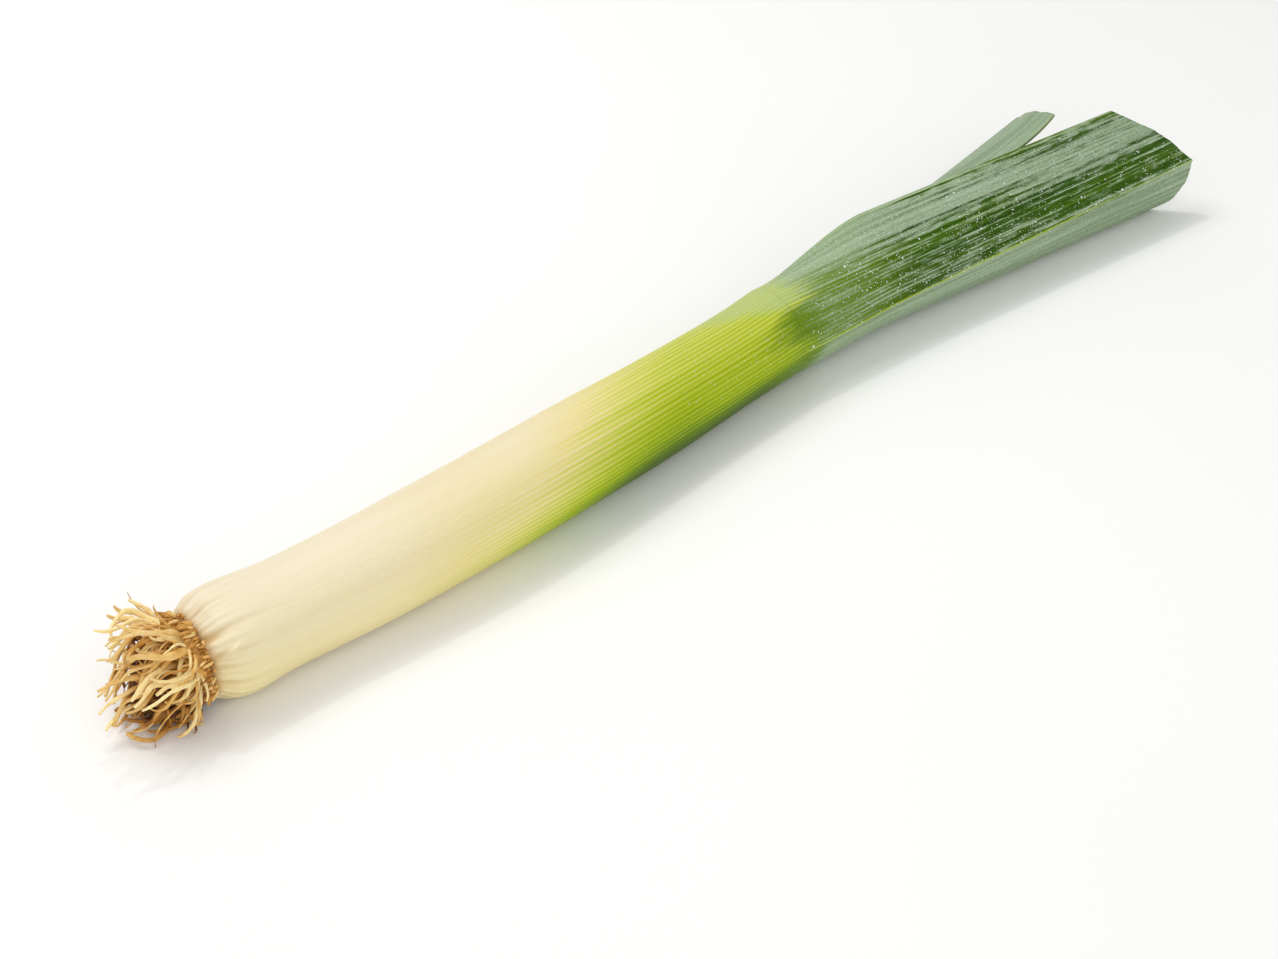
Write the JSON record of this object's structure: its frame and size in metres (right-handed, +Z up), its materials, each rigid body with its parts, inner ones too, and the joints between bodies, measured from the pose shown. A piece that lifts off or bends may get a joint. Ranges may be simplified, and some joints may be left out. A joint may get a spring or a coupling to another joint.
{
  "type": "leek",
  "caption": "Trimmed leek lying on its side: a pale round shaft with a tuft of roots at one end and folded green leaf blades fanning out at the other.",
  "frame": {"origin": "middle of the footprint, on the surface that the leek lies on", "axes": "+X along the leek from its roots to its cut leaf tips, +Z up from the surface, +Y towards the side that the shaft bends to"},
  "size_m": [0.4892, 0.0886, 0.0424],
  "materials": {
    "roots": "dry straw-coloured root fibres, matt",
    "shaft": "smooth waxy cream skin that turns yellow-green towards the blades, soft sheen",
    "outer_leaf": "dark green leaf with a pale waxy bloom in lengthwise streaks, satin",
    "inner_leaf": "mid-green leaf, satin",
    "heart_leaf": "light yellow-green leaf, satin"
  },
  "bodies": {
    "root": {"roots": "roots", "shaft": "shaft", "leaf_outer_near": "outer_leaf", "leaf_outer_far": "outer_leaf", "leaf_inner_near": "inner_leaf", "leaf_inner_far": "inner_leaf", "leaf_heart": "heart_leaf"}
  },
  "joints": []
}
